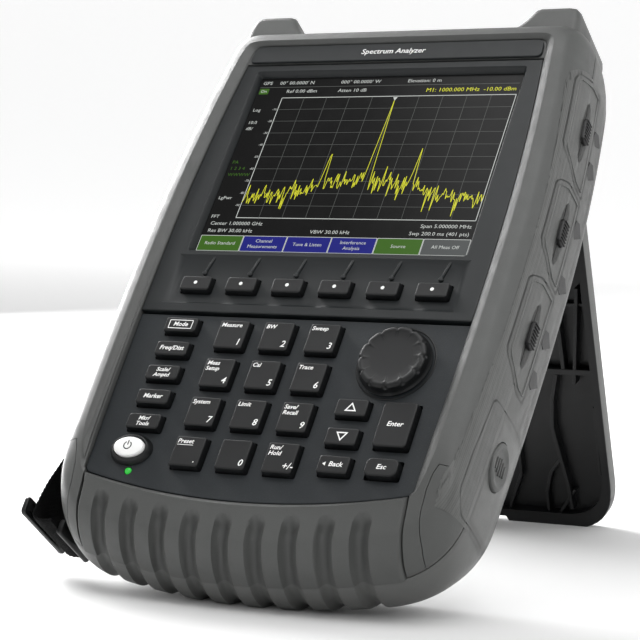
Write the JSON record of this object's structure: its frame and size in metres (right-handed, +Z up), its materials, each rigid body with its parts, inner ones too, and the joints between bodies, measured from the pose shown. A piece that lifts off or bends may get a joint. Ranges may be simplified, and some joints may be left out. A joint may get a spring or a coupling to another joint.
{
  "type": "handheld spectrum analyzer",
  "caption": "Rugged handheld spectrum analyzer with a lit screen, sprung keypad, rotary knob, side doors, hand strap and a fold-out rear stand.",
  "frame": {"origin": "under the middle of the whole object, on the surface it stands on, with the rear stand open", "axes": "+Z up, +Y towards the back, +X to the right as the user faces the screen; the screen faces -Y and leans back"},
  "size_m": [0.2076, 0.2756, 0.2507],
  "materials": {
    "rubber": "matt moulded elastomer, fine grain",
    "shell": "fine textured moulded plastic",
    "bezel": "satin dark grey plastic",
    "keypad": "fine speckled dark grey plastic",
    "key": "satin near-black key caps with white legends",
    "white_key": "glossy white",
    "led": "lit green lens",
    "screen": "glossy screen showing a yellow trace on a dark grid",
    "panel": "dark plastic",
    "board": "green solder mask",
    "steel": "bright nickel",
    "shield": "plain shielding can",
    "webbing": "woven nylon",
    "black_plastic": "semi-gloss black moulded plastic"
  },
  "bodies": {
    "root": {"front_housing": "rubber", "rear_housing": "shell", "bottom_grip": "rubber", "right_corner_pad": "rubber", "left_corner_pad": "rubber", "bezel": "bezel", "keypad_plate": "keypad", "label_plate": "bezel", "screen_window": "screen", "status_led": "led", "lcd_panel": "panel", "keypad_board": "board", "encoder": "steel", "main_board": "board", "rf_module": "shield", "battery_pack": "panel", "side_panel": "shell", "left_rf_port": "steel", "right_rf_port": "steel", "hand_strap": "webbing", "upper_strap_anchor": "black_plastic", "lower_strap_anchor": "black_plastic", "strap_buckle": "black_plastic", "stand_pin": "steel"},
    "soft_key_1": {"soft_key_1": "key"},
    "soft_key_2": {"soft_key_2": "key"},
    "soft_key_3": {"soft_key_3": "key"},
    "soft_key_4": {"soft_key_4": "key"},
    "soft_key_5": {"soft_key_5": "key"},
    "soft_key_6": {"soft_key_6": "key"},
    "function_key_1": {"function_key_1": "key"},
    "function_key_2": {"function_key_2": "key"},
    "function_key_3": {"function_key_3": "key"},
    "function_key_4": {"function_key_4": "key"},
    "function_key_5": {"function_key_5": "key"},
    "key_one": {"key_one": "key"},
    "key_two": {"key_two": "key"},
    "key_three": {"key_three": "key"},
    "key_four": {"key_four": "key"},
    "key_five": {"key_five": "key"},
    "key_six": {"key_six": "key"},
    "key_seven": {"key_seven": "key"},
    "key_eight": {"key_eight": "key"},
    "key_nine": {"key_nine": "key"},
    "key_point": {"key_point": "key"},
    "key_zero": {"key_zero": "key"},
    "key_sign": {"key_sign": "key"},
    "up_key": {"up_key": "key"},
    "down_key": {"down_key": "key"},
    "enter_key": {"enter_key": "key"},
    "back_key": {"back_key": "key"},
    "escape_key": {"escape_key": "key"},
    "power_key": {"power_key": "white_key"},
    "knob": {"knob": "key"},
    "top_door": {"top_door": "shell"},
    "middle_door": {"middle_door": "shell"},
    "lower_door": {"lower_door": "shell"},
    "battery_door": {"battery_door": "shell"},
    "battery_latch": {"battery_latch": "rubber"},
    "stand": {"stand": "black_plastic"}
  },
  "joints": [
    {"name": "soft_key_1_press", "type": "slide", "parent": "root", "child": "soft_key_1", "axis": [0, 0.7866, -0.6174], "range_m": [0, 0.001], "stiffness_N_per_m": 700, "springref_m": -0.0005},
    {"name": "soft_key_2_press", "type": "slide", "parent": "root", "child": "soft_key_2", "axis": [0, 0.7866, -0.6174], "range_m": [0, 0.001], "stiffness_N_per_m": 700, "springref_m": -0.0005},
    {"name": "soft_key_3_press", "type": "slide", "parent": "root", "child": "soft_key_3", "axis": [0, 0.7866, -0.6174], "range_m": [0, 0.001], "stiffness_N_per_m": 700, "springref_m": -0.0005},
    {"name": "soft_key_4_press", "type": "slide", "parent": "root", "child": "soft_key_4", "axis": [0, 0.7866, -0.6174], "range_m": [0, 0.001], "stiffness_N_per_m": 700, "springref_m": -0.0005},
    {"name": "soft_key_5_press", "type": "slide", "parent": "root", "child": "soft_key_5", "axis": [0, 0.7866, -0.6174], "range_m": [0, 0.001], "stiffness_N_per_m": 700, "springref_m": -0.0005},
    {"name": "soft_key_6_press", "type": "slide", "parent": "root", "child": "soft_key_6", "axis": [0, 0.7866, -0.6174], "range_m": [0, 0.001], "stiffness_N_per_m": 700, "springref_m": -0.0005},
    {"name": "function_key_1_press", "type": "slide", "parent": "root", "child": "function_key_1", "axis": [0, 0.7866, -0.6174], "range_m": [0, 0.001], "stiffness_N_per_m": 700, "springref_m": -0.0005},
    {"name": "function_key_2_press", "type": "slide", "parent": "root", "child": "function_key_2", "axis": [0, 0.7866, -0.6174], "range_m": [0, 0.001], "stiffness_N_per_m": 700, "springref_m": -0.0005},
    {"name": "function_key_3_press", "type": "slide", "parent": "root", "child": "function_key_3", "axis": [0, 0.7866, -0.6174], "range_m": [0, 0.001], "stiffness_N_per_m": 700, "springref_m": -0.0005},
    {"name": "function_key_4_press", "type": "slide", "parent": "root", "child": "function_key_4", "axis": [0, 0.7866, -0.6174], "range_m": [0, 0.001], "stiffness_N_per_m": 700, "springref_m": -0.0005},
    {"name": "function_key_5_press", "type": "slide", "parent": "root", "child": "function_key_5", "axis": [0, 0.7866, -0.6174], "range_m": [0, 0.001], "stiffness_N_per_m": 700, "springref_m": -0.0005},
    {"name": "key_one_press", "type": "slide", "parent": "root", "child": "key_one", "axis": [0, 0.7866, -0.6174], "range_m": [0, 0.001], "stiffness_N_per_m": 700, "springref_m": -0.0005},
    {"name": "key_two_press", "type": "slide", "parent": "root", "child": "key_two", "axis": [0, 0.7866, -0.6174], "range_m": [0, 0.001], "stiffness_N_per_m": 700, "springref_m": -0.0005},
    {"name": "key_three_press", "type": "slide", "parent": "root", "child": "key_three", "axis": [0, 0.7866, -0.6174], "range_m": [0, 0.001], "stiffness_N_per_m": 700, "springref_m": -0.0005},
    {"name": "key_four_press", "type": "slide", "parent": "root", "child": "key_four", "axis": [0, 0.7866, -0.6174], "range_m": [0, 0.001], "stiffness_N_per_m": 700, "springref_m": -0.0005},
    {"name": "key_five_press", "type": "slide", "parent": "root", "child": "key_five", "axis": [0, 0.7866, -0.6174], "range_m": [0, 0.001], "stiffness_N_per_m": 700, "springref_m": -0.0005},
    {"name": "key_six_press", "type": "slide", "parent": "root", "child": "key_six", "axis": [0, 0.7866, -0.6174], "range_m": [0, 0.001], "stiffness_N_per_m": 700, "springref_m": -0.0005},
    {"name": "key_seven_press", "type": "slide", "parent": "root", "child": "key_seven", "axis": [0, 0.7866, -0.6174], "range_m": [0, 0.001], "stiffness_N_per_m": 700, "springref_m": -0.0005},
    {"name": "key_eight_press", "type": "slide", "parent": "root", "child": "key_eight", "axis": [0, 0.7866, -0.6174], "range_m": [0, 0.001], "stiffness_N_per_m": 700, "springref_m": -0.0005},
    {"name": "key_nine_press", "type": "slide", "parent": "root", "child": "key_nine", "axis": [0, 0.7866, -0.6174], "range_m": [0, 0.001], "stiffness_N_per_m": 700, "springref_m": -0.0005},
    {"name": "key_point_press", "type": "slide", "parent": "root", "child": "key_point", "axis": [0, 0.7866, -0.6174], "range_m": [0, 0.001], "stiffness_N_per_m": 700, "springref_m": -0.0005},
    {"name": "key_zero_press", "type": "slide", "parent": "root", "child": "key_zero", "axis": [0, 0.7866, -0.6174], "range_m": [0, 0.001], "stiffness_N_per_m": 700, "springref_m": -0.0005},
    {"name": "key_sign_press", "type": "slide", "parent": "root", "child": "key_sign", "axis": [0, 0.7866, -0.6174], "range_m": [0, 0.001], "stiffness_N_per_m": 700, "springref_m": -0.0005},
    {"name": "up_key_press", "type": "slide", "parent": "root", "child": "up_key", "axis": [0, 0.7866, -0.6174], "range_m": [0, 0.001], "stiffness_N_per_m": 700, "springref_m": -0.0005},
    {"name": "down_key_press", "type": "slide", "parent": "root", "child": "down_key", "axis": [0, 0.7866, -0.6174], "range_m": [0, 0.001], "stiffness_N_per_m": 700, "springref_m": -0.0005},
    {"name": "enter_key_press", "type": "slide", "parent": "root", "child": "enter_key", "axis": [0, 0.7866, -0.6174], "range_m": [0, 0.001], "stiffness_N_per_m": 700, "springref_m": -0.0005},
    {"name": "back_key_press", "type": "slide", "parent": "root", "child": "back_key", "axis": [0, 0.7866, -0.6174], "range_m": [0, 0.001], "stiffness_N_per_m": 700, "springref_m": -0.0005},
    {"name": "escape_key_press", "type": "slide", "parent": "root", "child": "escape_key", "axis": [0, 0.7866, -0.6174], "range_m": [0, 0.001], "stiffness_N_per_m": 700, "springref_m": -0.0005},
    {"name": "power_key_press", "type": "slide", "parent": "root", "child": "power_key", "axis": [0, 0.7866, -0.6174], "range_m": [0, 0.001], "stiffness_N_per_m": 700, "springref_m": -0.0005},
    {"name": "knob_turn", "type": "hinge", "parent": "root", "child": "knob", "pos_m": [0.05686, -0.08661, 0.09911], "axis": [0, -0.7866, 0.6174], "continuous": true},
    {"name": "top_door_hinge", "type": "hinge", "parent": "root", "child": "top_door", "pos_m": [0.10138, 0.00313, 0.16533], "axis": [-0.0864, 0.6151, 0.7837], "range_deg": [0, 105]},
    {"name": "middle_door_hinge", "type": "hinge", "parent": "root", "child": "middle_door", "pos_m": [0.10266, -0.02775, 0.126], "axis": [-0.0236, 0.6173, 0.7864], "range_deg": [0, 105]},
    {"name": "lower_door_hinge", "type": "hinge", "parent": "root", "child": "lower_door", "pos_m": [0.10189, -0.06171, 0.08274], "axis": [0.0148, 0.6174, 0.7865], "range_deg": [0, 105]},
    {"name": "battery_door_hinge", "type": "hinge", "parent": "root", "child": "battery_door", "pos_m": [0.09926, -0.08754, 0.02229], "axis": [0.044, 0.6168, 0.7858], "range_deg": [0, 105]},
    {"name": "battery_latch_press", "type": "slide", "parent": "battery_door", "child": "battery_latch", "axis": [-1, 0, 0], "range_m": [0, 0.0008], "stiffness_N_per_m": 700, "springref_m": -0.0005},
    {"name": "stand_hinge", "type": "hinge", "parent": "root", "child": "stand", "pos_m": [0.00556, 0.06939, 0.19468], "axis": [-1, 0, 0], "range_deg": [0, 56.2]}
  ]
}
